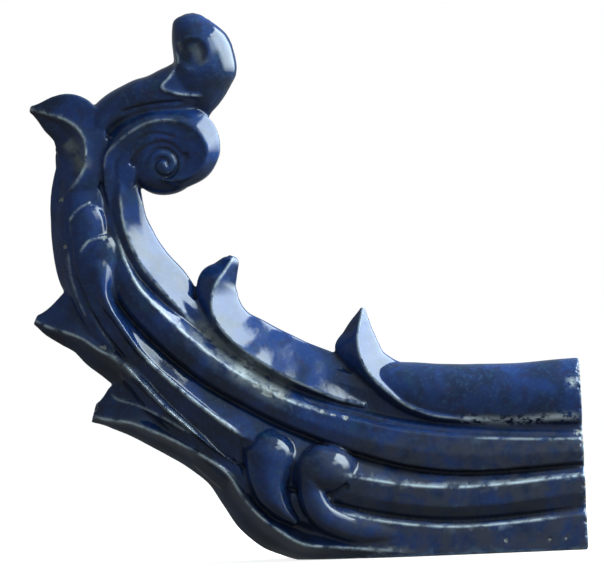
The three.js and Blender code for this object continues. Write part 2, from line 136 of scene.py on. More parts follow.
NECK_BODY = [
    (-498, 438, 6, 10, 6), (-493, 416, 14, 19, 10), (-487, 392, 20, 26, 20), (-484, 365, 22, 34, 27),
    (-484, 330, 22, 35, 28), (-476, 294, 18, 37, 28), (-466, 262, 12, 30, 27)]
UPPER_SCALE = [
    (-492, 362, 5, 5, 24), (-485, 354, 16, 15, 31), (-481, 336, 18, 18, 33), (-481, 305, 17, 16, 33),
    (-473, 265, 13, 12, 33), (-458, 232, 6, 6, 30)]
LOWER_SCALE = [
    (-483, 328, 5, 5, 26), (-474, 321, 18, 17, 34), (-471, 306, 19, 19, 36), (-470, 285, 17, 17, 36),
    (-462, 258, 10, 10, 35)]
MIDDLE_RIB = [
    (-474, 311, 4, 4, 33), (-472, 304, 13, 13, 38), (-470, 289, 15, 15, 40), (-467, 268, 13, 14, 41),
    (-450, 237, 12, 13, 43), (-431, 210, 12, 12, 45), (-397, 176, 12, 12, 48), (-363, 147, 12, 12, 51),
    (-334, 124, 10, 10, 52)]
SCROLL_BAND = [
    (-455, 335, 4, 8, 14), (-458, 355, 4, 17, 20), (-462, 378, 5, 29, 24.5), (-463, 396, 6, 35, 26),
    (-459.7, 411.6, 8, 28, 27), (-441.4, 428.4, 15, 22, 29), (-421, 440, 16, 23, 30),
    (-401, 443.7, 15, 24, 30), (-378.5, 438, 18, 28, 30), (-366, 426, 18, 28, 30), (-360, 411, 13, 27, 30),
    (-365, 396, 10, 20, 29), (-380, 386, 9, 14, 28), (-396, 383, 9.5, 11, 27), (-413, 387, 4, 6, 24)]
BUD_STEM = [
    (-474, 428, 12, 14, 19), (-458, 450, 17, 18, 23), (-428, 467, 18, 25, 26), (-412, 471, 19, 27, 27),
    (-396, 473, 24, 28, 27), (-384, 473, 29, 27, 26), (-366, 470, 20, 22, 21), (-350, 462, 6, 10, 10)]
BUD = [
    (-366, 446, 5, 10, 8), (-366.5, 456, 21, 20, 16), (-367, 467, 32, 29, 23), (-368, 484, 27.5, 39.8, 30),
    (-368.6, 501, 21, 41, 31), (-370, 526, 20.5, 34, 27), (-370.6, 542, 18, 18, 17),
    (-370.8, 547, 13, 11, 11), (-371, 549.8, 6, 3.5, 3)]
FIRST_CURL = [
    (-309, 131, 8, 8, 46), (-310, 124, 18, 18, 57), (-310, 110, 28.5, 28.5, 65), (-313, 92, 27.5, 24, 65),
    (-312, 73, 22.5, 19, 64), (-302, 54, 15, 13, 61), (-286, 38, 6, 5, 56)]
SECOND_CURL_TAIL = [
    (-258, 100, 8, 8, 50), (-269, 86, 14, 14, 64), (-271, 68, 16, 14, 66), (-262, 47, 17, 15, 65),
    (-240, 32, 17, 14, 62), (-205, 24, 15, 13, 59), (-150, 20, 10, 10, 54)]

# Domes: (x, z) of the centre, reach along x and z, half depth, fullness of the shoulder
SCROLL_EYE = (-404, 397, 21, 21, 28, .8)
SCROLL_BACKING = (-403, 404, 37, 35, 26, .5)
SECOND_CURL_HEAD = (-257, 88, 39, 31, 69, .62)

# Carved lines on the two faces: points, half width, height (a negative height is a groove)
CARVED_LINES = {
    "tip of the upper scale": ([(-500, 346), (-492, 357), (-477, 365)], 2.0, 1.4),
    "tip of the lower scale": ([(-492.7, 310), (-481, 326), (-460.6, 330)], 2.0, 1.2),
    "flute of the neck": ([(-502, 318), (-501, 296), (-495.5, 273), (-486.5, 249)], 2.2, 1.4),
    "fold of the foot leaf": ([(-467, 177), (-462, 169), (-440, 160.6), (-413, 147), (-384, 128)], 2.4, 1.8),
    "lip of the bud": (
        [(-388, 516), (-385, 501), (-394, 486), (-402, 476), (-390, 470), (-372, 467), (-360, 466)],
        2.4, 2.0),
    "seam under the stem": ([(-447, 452), (-415, 459), (-378, 461)], 2.0, -1.6),
    "flute of the scroll": ([(-452, 384), (-451, 404), (-437, 420), (-412, 430), (-385, 424)], 2.0, -1.2),
    "outline of the first curl": ([(-334, 126), (-339, 108), (-334, 84), (-326, 62), (-308, 44)], 2.4, -2.0),
    "notch of the second curl": ([(-232, 74), (-246, 66), (-257, 63)], 2.6, -3.0),
}
# Hollow in the face of the bud: (x, z) of its middle, reach along x and z, depth
BUD_HOLLOW = (-371, 509, 17, 17, 4)
HOLLOW_RIM = 0.6  # share of its reach from which it rises to its rim
# The scroll's coil: its radius from start to end, its turns, its first angle in radians
SPIRAL = {"centre": (-403.5, 398.5), "radius": (19.5, 3.0), "turns": 1.7, "start": 3.5, "width": 1.9,
          "depth": -2.4}

# Wear on the face in the photograph: (x, z) and radius of chips and of pale spots in the glaze
CHIPS = [
    (-320, 174, 4), (-309, 169, 6), (-297, 163, 5), (-256, 147, 1.7), (-244, 143.5, 2), (-233, 140, 1.6),
    (-507, 368, 2.6), (-464, 329, 2), (-505, 321, 2.2), (-471, 219, 3.4), (-2, 117, 3.4), (-481, 164, 4),
    (-484, 156, 3.5), (-79, 13, 1.6), (-36, 11, 2), (-20, 12, 1.4)]
# The glaze's pale run along the lower edge of the top roll
PALE_RUN = [(-125, 134), (-92, 132), (-69, 130.5), (-44, 131), (-19, 132), (3, 132)]
PALE_RUN_WIDTH = 3.2
PALE_SPOTS = [(-7, 166, 4), (-331, 193, 9)]
# Dirt left by rain, and painted reflections in the bud's hollow and the top leaf's scoop: points, half width,
# strength
DUST_AND_REFLECTION_LINES = [
    ([(-378, 248), (-372, 233), (-355, 214), (-331, 193), (-307, 176), (-283, 164)], 12, 1.0),
    ([(-350, 92), (-341, 72), (-327, 55)], 2.5, .5),
    # Painted reflection: pale grey in the top leaf's scoop
    ([(-501, 428), (-489, 413), (-482, 396)], 7, .9),
    # Painted reflection: pale grey marks in the bud's hollow, this line and the next
    ([(-384, 522), (-382, 514), (-379, 505)], 2.5, .8),
    ([(-370, 519), (-365, 509), (-358, 496)], 6, .6),
]

# Crests and mouldings coloured pale, as thin glaze and as painted highlights,
# and where along them: from, to (shares of the length), half width, strength
PALE_AND_HIGHLIT_CRESTS = [
    (TOP_LEAF, -.1, .9, 1.2, 1), (MIDDLE_LEAF, -.1, .35, 1.2, .9), (MIDDLE_LEAF, .3, .8, 2, 1),
    (FOOT_LEAF, -.1, 1, 1.4, 1), (NECK_ROLL, .1, 1, 1.2, .8), (UPPER_FIN, -.1, 1, 1, .7),
    (LOWER_FIN, -.1, .9, 1, .7), (SCROLL_BAND, .22, .6, 1.1, .4), (MIDDLE_RIB, .4, 1, 1.6, 1)]
PALE_AND_HIGHLIT_MOULDINGS = [("arris", .42, .9, 1.2, .9), ("arris", .02, .2, 1, .5), ("middle arris", -.05, .42, 1.3, 1),
                  ("lower band", .05, .42, 1.1, .85)]
# Carved lines coloured pale too, as thin glaze and painted highlights, and how strongly
PALE_AND_HIGHLIT_LINES = {"tip of the upper scale": .8, "tip of the lower scale": .7, "lip of the bud": .7,
              "fold of the foot leaf": .5, "flute of the neck": .4}
PALE_AND_HIGHLIGHT_WIDTH = 1.0
DEPTH_SHARE = 0.25  # weight of the depth in the distance to a crest

# Grooves cut between two mouldings: their names, how far they run up the ridge, half width, height
GROOVES = [("upper groove", "upper groove", 1, 1.6, -2.8), ("lower groove", "lower groove", 1, 1.6, -2.8),
           ("cove", "arris", .5, 1.3, -2.4)]
SWELL_LENGTHS = (26, 44, 75)  # waves in the hand-pressed surface
SWELL_HEIGHT = 0.26
CHIP_DEPTH = 0.8
CHIP_LENGTHS = (4, 7, 11)  # waves in the outline of a chip
RIM_WIDTH = 5  # ragged strip along the cut end
RIM_DEPTH = 2.4
RIM_LENGTHS = (5, 9, 15)
SWELL_SEED, RIM_SEED, CHIP_SEED = 4, 6, 9
FAR_DUST = 0.6  # share of the near face's dirt and painted reflections that the far face has
# The ridge's lower bands are greyer: x over which this grows, and z over which it fades
LOWER_X = (-330, -180)
LOWER_Z = (135, 105)

# Colours of the glaze, the dirt on it and the fired clay, and of painted shade, highlights and reflections
NAVY = (.008, .022, .072)
COBALT = (.011, .042, .185)
THIN_BLUE = (.035, .085, .2)
PLUM = (.022, .02, .06)
TEAL = (.014, .06, .12)
SLATE = (.055, .058, .082)
# Painted shade: dark colour for hollows, partly pooled glaze, and for faces that look downward
POOLED_GLAZE_AND_SHADE = (.021, .022, .026)
EDGE_BLUE = (.12, .2, .32)
# Near white for crest lines: thin glaze and painted highlights
CREST_GLAZE_AND_HIGHLIGHT = (.7, .8, .86)
# Pale grey for dirt and for painted reflections
DIRT_AND_REFLECTION_GREY = (.2, .225, .235)
PALE = (.62, .68, .7)
CHIPPED = (.28, .3, .3)
CLAY = (.45, .36, .27)
CLAY_DARK = (.3, .22, .16)

ROOM = (.21, .25, .27)  # soft light from the right and from above
SHADE = (.18, .197, .205)  # and from the lower left
ROOM_FROM = (.9, 0, .44)
GLOW = (.4, .5, .53)  # and from the upper right
GLOW_FROM = (.72, -.2, .66)
SKY = (.8, .95, 1.0)  # colour of the softboxes
# Softboxes: place, outer and inner width and height in metres, brightness, layers it fades over
KEY = ((1.27, .2, .925), (2.1, 1.7), (1.3, 1.08), 9, 7)
FRONT = ((1.4, -.9, 1.3), (1.3, .7), (.8, .4), 4.2, 5)
LAYER_STEP = .02  # metres from each layer to the next one in front of it
FLOOR_WIDTH = 60  # metres
FLOOR_DROP = .0005  # metres from the bed down to the floor
FLOOR_GREY = (.6, .6, .6)
FLOOR_GLOW = .86
CENTRE = Vector((SHIFT - 270.8, 0, 272)) * MM  # the middle of the picture
CAMERA_DISTANCE = 6.0  # metres
FRAME_WIDTH = .604  # metres across the picture
CAMERA_ROLL = 2.4  # degrees


def through(values, u):
    """Smooth value at each u (0 to 1) through evenly spaced values."""
    v = np.asarray(values, float)
    last = len(v) - 1
    place = np.asarray(u) * last
    i = np.minimum(np.floor(place).astype(int), last - 1)
    t = place - i
    a, b, c, d = (v[np.clip(i + k, 0, last)] for k in (-1, 0, 1, 2))
    return b + 0.5 * t * (c - a + t * (2 * a - 5 * b + 4 * c - d + t * (3 * (b - c) + d - a)))


def plane_curve(points, u):
    """Places and directions along a centripetal curve through points."""
    p = np.asarray(points, float)
    p = np.vstack([2 * p[0] - p[1], p, 2 * p[-1] - p[-2]])
    last = len(points) - 1

    def at(uu):
        place = np.clip(uu, 0, 1) * last
        i = np.minimum(np.floor(place).astype(int), last - 1)
        t = (place - i)[:, None]
        q = [p[i + k] for k in range(4)]
        gap = [np.maximum(np.linalg.norm(q[k + 1] - q[k], axis=1) ** 0.5, 1e-4)[:, None] for k in range(3)]
        m1 = (q[1] - q[0]) / gap[0] - (q[2] - q[0]) / (gap[0] + gap[1]) + (q[2] - q[1]) / gap[1]
        m2 = (q[2] - q[1]) / gap[1] - (q[3] - q[1]) / (gap[1] + gap[2]) + (q[3] - q[2]) / gap[2]
        m1, m2 = m1 * gap[1], m2 * gap[1]
        return (q[1] + m1 * t + (-3 * q[1] + 3 * q[2] - 2 * m1 - m2) * t ** 2
                + (2 * q[1] - 2 * q[2] + m1 + m2) * t ** 3)

    step = 1e-4
    tangent = at(u + step) - at(u - step)
    return at(u), tangent / np.linalg.norm(tangent, axis=1)[:, None]


def even_curve(points, u):
    """As plane_curve, with u in equal shares of the length."""
    dense = np.linspace(0, 1, 800)
    p, _ = plane_curve(points, dense)
    run = np.concatenate([[0], np.cumsum(np.linalg.norm(np.diff(p, axis=0), axis=1))])
    return plane_curve(points, np.interp(u * run[-1], run, dense))


def smoothstep(low_edge, high_edge, value):
    t = np.clip((value - low_edge) / (high_edge - low_edge), 0, 1)
    return t * t * (3 - 2 * t)


def loft(place, tangent, across, thick):
    """A closed shell from rings mirrored to the far side: across and thick hold a row for each ring."""
    right = np.stack([tangent[:, 1], -tangent[:, 0]], axis=1)
    xz = place[:, None, :] + right[:, None, :] * across[:, :, None]
    near = np.stack([xz[..., 0], -thick, xz[..., 1]], axis=2)
    far = np.stack([xz[..., 0], thick, xz[..., 1]], axis=2)[:, ::-1]
    rings = np.concatenate([near, far], axis=1)
    count, sides = rings.shape[:2]
    faces = []
    for r in range(count - 1):
        for s in range(sides):
            a, b = r * sides + s, r * sides + (s + 1) % sides
            faces.append((a, b, b + sides, a + sides))
    faces.append(tuple(range(sides))[::-1])
    faces.append(tuple(range((count - 1) * sides, count * sides)))
    return rings.reshape(-1, 3), faces


def swept(stations, section, last_section=None, change=(0, 1), steps=6):
    """A form swept along its stations; its section may change to another one on the way."""
    s = np.asarray(stations, float)
    u = np.linspace(0, 1, (len(s) - 1) * steps + 1)
    place, tangent = plane_curve(s[:, :2], u)
    left, right, depth = (through(s[:, k], u)[:, None] for k in (2, 3, 4))

    def spread(points):
        fine = np.linspace(0, 1, (len(points) - 1) * 3 + 1)
        return (through([p[k] for p in points], fine)[None, :] for k in (0, 1))

    across, share = spread(section)
    if last_section:
        blend = smoothstep(*change, u)[:, None]
        last_across, last_share = spread(last_section)
        across = across + blend * (last_across - across)
        share = share + blend * (last_share - share)
    across = np.where(across < 0, across * left, across * right)
    return loft(place, tangent, across, share * depth)


def ridge():
    u = np.linspace(0, 1, 120)
    place, tangent = even_curve(RIDGE_LINE, u)
    rise = np.stack([through(m[0], u) for m in RIDGE_MOULDINGS.values()], axis=1)
    half = np.stack([through(m[1], u) for m in RIDGE_MOULDINGS.values()], axis=1)
    return loft(place, tangent, rise, half)


def dome(x, z, reach_x, reach_z, depth, fullness):
    """A dome on both faces; a fullness under 1 makes its shoulder steeper than a sphere's."""
    bm = bmesh.new()
    bmesh.ops.create_uvsphere(bm, u_segments=64, v_segments=48, radius=1)
    bmesh.ops.rotate(bm, verts=bm.verts[:], matrix=Matrix.Rotation(math.radians(90), 3, "X"))
    v = np.array([p.co[:] for p in bm.verts])
    v[:, 1] = np.sign(v[:, 1]) * np.abs(v[:, 1]) ** fullness
    faces = [tuple(p.index for p in f.verts) for f in bm.faces]
    bm.free()
    return v * (reach_x, depth, reach_z) + (x, 0, z), faces


def cut_flat(bm, place, outward):
    """Removes what lies beyond a plane and closes the cut."""
    everything = bm.verts[:] + bm.edges[:] + bm.faces[:]
    bmesh.ops.bisect_plane(bm, geom=everything, plane_co=place, plane_no=outward, clear_outer=True, dist=1e-6)
    rim = [e for e in bm.edges if e.is_boundary]
    if rim:
        bmesh.ops.holes_fill(bm, edges=rim, sides=0)


def add_shell(whole, verts, faces):
    """Adds one closed shell, cut off at the bed and at the cut end."""
    bm = bmesh.new()
    made = [bm.verts.new((x + SHIFT, y, z)) for x, y, z in verts]
    for f in faces:
        bm.faces.new([made[k] for k in f])
    cut_flat(bm, (CUT_END + SHIFT, 0, 0), (1, 0, 0))
    cut_flat(bm, (0, 0, 0), (0, 0, -1))
    bmesh.ops.triangulate(bm, faces=bm.faces[:])
    bmesh.ops.recalc_face_normals(bm, faces=bm.faces[:])
    part = bpy.data.meshes.new("shell")
    bm.to_mesh(part)
    bm.free()
    whole.from_mesh(part)
    bpy.data.meshes.remove(part)


def apply_modifier(obj, kind, **settings):
    """Replaces an object's mesh by the result of one modifier."""
    modifier = obj.modifiers.new(kind.lower(), kind)
    for key, value in settings.items():
        setattr(modifier, key, value)
    graph = bpy.context.evaluated_depsgraph_get()
    made = bpy.data.meshes.new_from_object(obj.evaluated_get(graph))
    obj.modifiers.clear()
    old, obj.data = obj.data, made
    bpy.data.meshes.remove(old)


class Surface:
    """A mesh's points, normals and edges as arrays."""

    def __init__(self, mesh, unit):
        self.mesh, self.unit = mesh, unit
        self.points = self.read(mesh.vertices, "co", float, 3) / unit
        self.normals = self.read(mesh.vertex_normals, "vector", float, 3)
        self.edges = self.read(mesh.edges, "vertices", int, 2)
        self.count = len(self.points)
        self.degree = np.maximum(np.bincount(self.edges.ravel(), minlength=self.count), 1)

    @staticmethod
    def read(items, key, kind, width):
        flat = np.empty(len(items) * width, kind)
        items.foreach_get(key, flat)
        return flat.reshape(-1, width)

    def around(self, values):
        """Mean of each point's neighbours."""
        a, b = self.edges.T
        columns = [np.bincount(a, v[b], self.count) + np.bincount(b, v[a], self.count) for v in values.T]
        return np.stack(columns, axis=1) / self.degree[:, None]

    def smoothed(self, values, rounds, back=0.0):
        """Values smoothed over the surface; going back a little each round keeps the forms full."""
        for _ in range(rounds):
            values = values + 0.55 * (self.around(values) - values)
            if back:
                values = values - back * (self.around(values) - values)
        return values

    def write(self, unit):
        self.mesh.vertices.foreach_set("co", (self.points * unit).ravel())
        self.mesh.update()
        self.normals = self.read(self.mesh.vertex_normals, "vector", float, 3)

    def drawn(self):
        """The points' (x, z) in the drawing."""
        return np.stack([self.points[:, 0] - SHIFT, self.points[:, 2]], axis=1)

    def drawn_deep(self):
        """The same with the weighted distance from the mirror plane."""
        return np.column_stack([self.drawn(), DEPTH_SHARE * np.abs(self.points[:, 1])])

    def facing(self):
        """1 where the surface faces the near or far side, 0 where it is edge on to them."""
        return smoothstep(0.15, 0.5, np.abs(self.normals[:, 1]))


def on_bed(points):
    return points[:, 2] < FLAT_GAP


def on_end(points):
    return points[:, 0] > END - FLAT_GAP


def near_line(places, path, width):
    """How near each place is to a line of points, from 1 on the line to 0, fading at the line's two ends."""
    reach = 3 * width
    inside = np.all((places > path.min(axis=0) - reach) & (places < path.max(axis=0) + reach), axis=1)
    amount = np.zeros(len(places))
    chosen = np.nonzero(inside)[0]
    for part in np.array_split(chosen, len(chosen) // 4000 + 1):
        gap = np.linalg.norm(places[part, None, :] - path[None, :, :], axis=2)
        nearest = gap.argmin(axis=1)
        along = nearest / (len(path) - 1)
        fade = smoothstep(0, 0.12, along) * smoothstep(0, 0.12, 1 - along)
        amount[part] = np.exp(-(gap[np.arange(len(part)), nearest] / width) ** 2) * fade
    return amount


def swell(points, lengths, seed):
    """Slow uneven swell, about -1 to 1, from a few waves of each length in turned directions."""
    turn = np.random.default_rng(seed)
    total = np.zeros(len(points))
    for length in lengths:
        for _ in range(4):
            way = turn.normal(size=3)
            way *= 2 * math.pi / (length * np.linalg.norm(way))
            total += np.sin(points @ way + turn.uniform(0, 2 * math.pi))
    return total / (2 * math.sqrt(len(lengths)))


def spiral_path():
    share = np.linspace(0, 1, 260)
    angle = SPIRAL["start"] - share * SPIRAL["turns"] * 2 * math.pi
    radius = SPIRAL["radius"][0] + share * (SPIRAL["radius"][1] - SPIRAL["radius"][0])
    x, z = SPIRAL["centre"]
    return np.stack([x + radius * np.cos(angle), z + radius * np.sin(angle)], axis=1)


def carve(surface):
    """The carved lines, the chips and the unevenness of hand-pressed clay."""
    places = surface.drawn()
    facing = surface.facing()
    lift = np.zeros(surface.count)
    u = np.linspace(0, 1, CURVE_STEPS)
    for line, width, height in CARVED_LINES.values():
        lift += height * near_line(places, even_curve(line, u)[0], width) * facing
    for above, below, run, width, height in GROOVES:
        path = (moulding_line(above, run * u) + moulding_line(below, run * u)) / 2
        lift += height * near_line(surface.drawn_deep(), path, width)
    lift += SPIRAL["depth"] * near_line(places, spiral_path(), SPIRAL["width"]) * facing
    x, z, reach_x, reach_z, depth = BUD_HOLLOW
    gap = np.hypot((places[:, 0] - x) / reach_x, (places[:, 1] - z) / reach_z)
    lift -= depth * smoothstep(1, HOLLOW_RIM, gap) * facing
    lift += SWELL_HEIGHT * swell(surface.points, SWELL_LENGTHS, SWELL_SEED)
    lift -= chip_share(surface) * CHIP_DEPTH
    rim = smoothstep(END - RIM_WIDTH, END, surface.points[:, 0])
    lift -= rim * RIM_DEPTH * smoothstep(-0.2, 1, swell(surface.points, RIM_LENGTHS, RIM_SEED))
    lift[on_bed(surface.points) | (surface.normals[:, 0] > 0.95)] = 0
    surface.points = surface.points + surface.normals * lift[:, None]
    surface.points[:, 2] = np.maximum(surface.points[:, 2], 0)
    surface.points[:, 0] = np.minimum(surface.points[:, 0], END)


def chip_share(surface):
    """1 inside the chips of the near face, 0 elsewhere."""
    places = surface.drawn()
    uneven = 0.5 * swell(surface.points, CHIP_LENGTHS, CHIP_SEED)
    share = np.zeros(surface.count)
    for x, z, radius in CHIPS:
        gap = np.hypot(places[:, 0] - x, places[:, 1] - z) / radius + uneven
        share = np.maximum(share, smoothstep(1.3, 0.4, gap) * (surface.points[:, 1] < 0))
    return share


def fused_body():
    """All forms joined to one carved skin."""
    whole = bmesh.new()
    for verts, faces in [
        ridge(),
        swept(NECK_ROLL, SHOULDER, SLOPE, (0.1, 0.5)),
        swept(UPPER_FIN, FIN, WEDGE, (0.1, 0.35)),
        swept(LOWER_FIN, FIN, WEDGE, (0.2, 0.6)),
        swept(TOP_ROLL, ROLL),
        swept(FOOT_LEAF, LEAF, FOOT, (0.7, 0.95)),
        swept(MIDDLE_LEAF, LEAF),
        swept(TOP_LEAF, SCOOP),
        swept(NECK_BODY, NECK),
        swept(UPPER_SCALE, TONGUE),
        swept(LOWER_SCALE, TONGUE),
        swept(MIDDLE_RIB, TONGUE, RIB, (0.1, 0.5)),
        swept(SCROLL_BAND, BAND),
        swept(BUD_STEM, ROUND),
        swept(BUD, ROUND),
        swept(FIRST_CURL, DROP),
        swept(SECOND_CURL_TAIL, PAD),
        dome(*SCROLL_EYE),
        dome(*SCROLL_BACKING),
        dome(*SECOND_CURL_HEAD),
    ]:
        add_shell(whole, verts, faces)
    mesh = bpy.data.meshes.new("glazed_ornament")
    whole.to_mesh(mesh)
    whole.free()
    obj = bpy.data.objects.new("glazed_ornament", mesh)
    bpy.context.scene.collection.objects.link(obj)
    apply_modifier(obj, "REMESH", mode="VOXEL", voxel_size=VOXEL)

    skin = Surface(obj.data, 1)
    bed, end = on_bed(skin.points), on_end(skin.points)
    skin.points = skin.smoothed(skin.points, 5, 0.35)
    skin.points[bed, 2] = 0
    skin.points[end, 0] = END
    skin.write(1)
    carve(skin)
    skin.write(MM)
    full = sum(len(p.vertices) - 2 for p in obj.data.polygons)
    apply_modifier(obj, "DECIMATE", ratio=min(1, TRIANGLES / full), use_collapse_triangulate=True)
    shade(obj.data)
    return obj


def shade(mesh):
    """Smooth shading, but flat on the bed and on the cut end."""
    middle, normal = (Surface.read(mesh.polygons, key, float, 3) for key in ("center", "normal"))
    bed = (middle[:, 2] < 0.2 * MM) & (normal[:, 2] < -0.9)
    end = (middle[:, 0] > high[0] - 0.2 * MM) & (normal[:, 0] > 0.9)
    mesh.polygons.foreach_set("use_smooth", ~(bed | end))


def moulding_line(name, u):
    """(x, z) and weighted half thickness along one moulding of the ridge."""
    line, tangent = even_curve(RIDGE_LINE, u)
    right = np.stack([tangent[:, 1], -tangent[:, 0]], axis=1)
    rise, half = (through(values, u)[:, None] for values in RIDGE_MOULDINGS[name])
    return np.hstack([line + right * rise, DEPTH_SHARE * half])


def crest_line(stations, u):
    """The same along the crest of a swept form."""
    return even_curve([(x, z, DEPTH_SHARE * depth) for x, z, _, _, depth in stations], u)[0]


def crest_glaze_and_highlight_share(skin):
    """1 on the crests coloured pale, as thin glaze and as painted highlights, 0 a little way off them."""
    share = np.zeros(skin.count)
    runs = [(crest_line, *run) for run in PALE_AND_HIGHLIT_CRESTS] + [(moulding_line, *run) for run in PALE_AND_HIGHLIT_MOULDINGS]
    for line_along, crest, start, end, width, strength in runs:
        path = line_along(crest, np.clip(np.linspace(start, end, CURVE_STEPS), 0, 1))
        share = np.maximum(share, strength * near_line(skin.drawn_deep(), path, width))
    for name, strength in PALE_AND_HIGHLIT_LINES.items():
        path = even_curve(CARVED_LINES[name][0], np.linspace(0, 1, CURVE_STEPS))[0]
        share = np.maximum(share, strength * near_line(skin.drawn(), path, PALE_AND_HIGHLIGHT_WIDTH) * skin.facing())
    return share


def mark_surface(mesh):
    """Shares from 0 to 1 that the glaze reads: edges, crests with painted highlights, hollows and downward
    faces with painted shade, dirt with painted reflections, chips, bare clay and others.
    """
    skin = Surface(mesh, MM)
    places = skin.drawn()
    near = skin.points[:, 1] < 0
    stand_out = ((skin.points - skin.smoothed(skin.points, 4)) * skin.normals).sum(axis=1)
    stand_out = skin.smoothed(stand_out[:, None], 1)[:, 0]
    lie_back = ((skin.smoothed(skin.points, 45) - skin.points) * skin.normals).sum(axis=1)
    u = np.linspace(0, 1, CURVE_STEPS)
    dust_and_reflection = np.zeros(skin.count)
    for line, width, strength in DUST_AND_REFLECTION_LINES:
        dust_and_reflection = np.maximum(dust_and_reflection, strength * near_line(places, even_curve(line, u)[0], width))
    pale = near_line(places, even_curve(PALE_RUN, u)[0], PALE_RUN_WIDTH) * near
    for x, z, radius in PALE_SPOTS:
        gap = np.hypot(places[:, 0] - x, places[:, 1] - z) / radius
        pale = np.maximum(pale, np.exp(-gap ** 2) * near)
    unglazed = on_bed(skin.points) | on_end(skin.points)
    shares = {
        "edge": smoothstep(0.15, 0.6, stand_out),
        # Pale crest lines: thin glaze and painted highlights
        "crest": crest_glaze_and_highlight_share(skin),
        # Painted shade: hollows, partly pooled glaze, and faces that look downward
        "hollow": smoothstep(0.4, 2.4, lie_back),
        "under": smoothstep(-0.1, -0.55, skin.normals[:, 2]),
        # Dirt, and painted reflections in the bud's hollow and the top leaf's scoop
        "dust_and_reflection": dust_and_reflection * np.where(near, 1, FAR_DUST),
        "pale": pale,
        "lower": smoothstep(*LOWER_X, places[:, 0]) * smoothstep(*LOWER_Z, places[:, 1]),
        "chip": chip_share(skin),
        "bare": unglazed.astype(float),
    }
    for name, values in shares.items():
        mesh.attributes.new(name, "FLOAT", "POINT").data.foreach_set("value", np.clip(values, 0, 1))


class Nodes:
    """Short ways to add and link the nodes of one material."""

    def __init__(self, name):
        self.material = bpy.data.materials.new(name)
        self.material.use_nodes = True
        self.tree = self.material.node_tree
        self.shader = self.tree.nodes["Principled BSDF"]
        self.place = self.add("ShaderNodeTexCoord").outputs["Object"]

    def add(self, kind, **settings):
        made = self.tree.nodes.new(kind)
        for key, value in settings.items():
            setattr(made, key, value)
        return made

    def link(self, source, target):
        self.tree.links.new(source, target)

    def share(self, name):
        return self.add("ShaderNodeAttribute", attribute_name=name).outputs["Fac"]

    def noise(self, size, detail=2.0, roughness=0.5, distortion=0.0):
        """Noise whose grains are about size millimetres wide."""
        made = self.add("ShaderNodeTexNoise")
        made.inputs["Scale"].default_value = 1 / (size * MM)
        made.inputs["Detail"].default_value = detail
        made.inputs["Roughness"].default_value = roughness
        made.inputs["Distortion"].default_value = distortion
        self.link(self.place, made.inputs["Vector"])
        return made.outputs["Fac"]

    def fit(self, value, low_in, high_in, low_out=0.0, high_out=1.0):
        """The value from one range mapped smoothly to another."""
        made = self.add("ShaderNodeMapRange", interpolation_type="SMOOTHSTEP")
        ends = {"From Min": low_in, "From Max": high_in, "To Min": low_out, "To Max": high_out}
        for key, number in ends.items():
            made.inputs[key].default_value = number
        self.link(value, made.inputs["Value"])
        return made.outputs["Result"]

    def math(self, operation, a, b):
        made = self.add("ShaderNodeMath", operation=operation, use_clamp=True)
        for socket, value in zip(made.inputs, (a, b)):
            if isinstance(value, (int, float)):
                socket.default_value = value
            else:
                self.link(value, socket)
        return made.outputs["Value"]

    def broken(self, name, pattern):
        """A share of the surface broken up by a pattern."""
        return self.math("MULTIPLY", self.share(name), pattern)

    def mix(self, share, a, b):
        """Colours or colour sockets, from a (0) to b (1)."""
        made = self.add("ShaderNodeMix", data_type="RGBA")
        self.link(share, made.inputs["Factor"])
        colour_sockets = [s for s in made.inputs if s.type == "RGBA"]
        for socket, value in zip(colour_sockets, (a, b)):
            if isinstance(value, tuple):
                socket.default_value = (*value, 1)
            else:
                self.link(value, socket)
        return [s for s in made.outputs if s.type == "RGBA"][0]


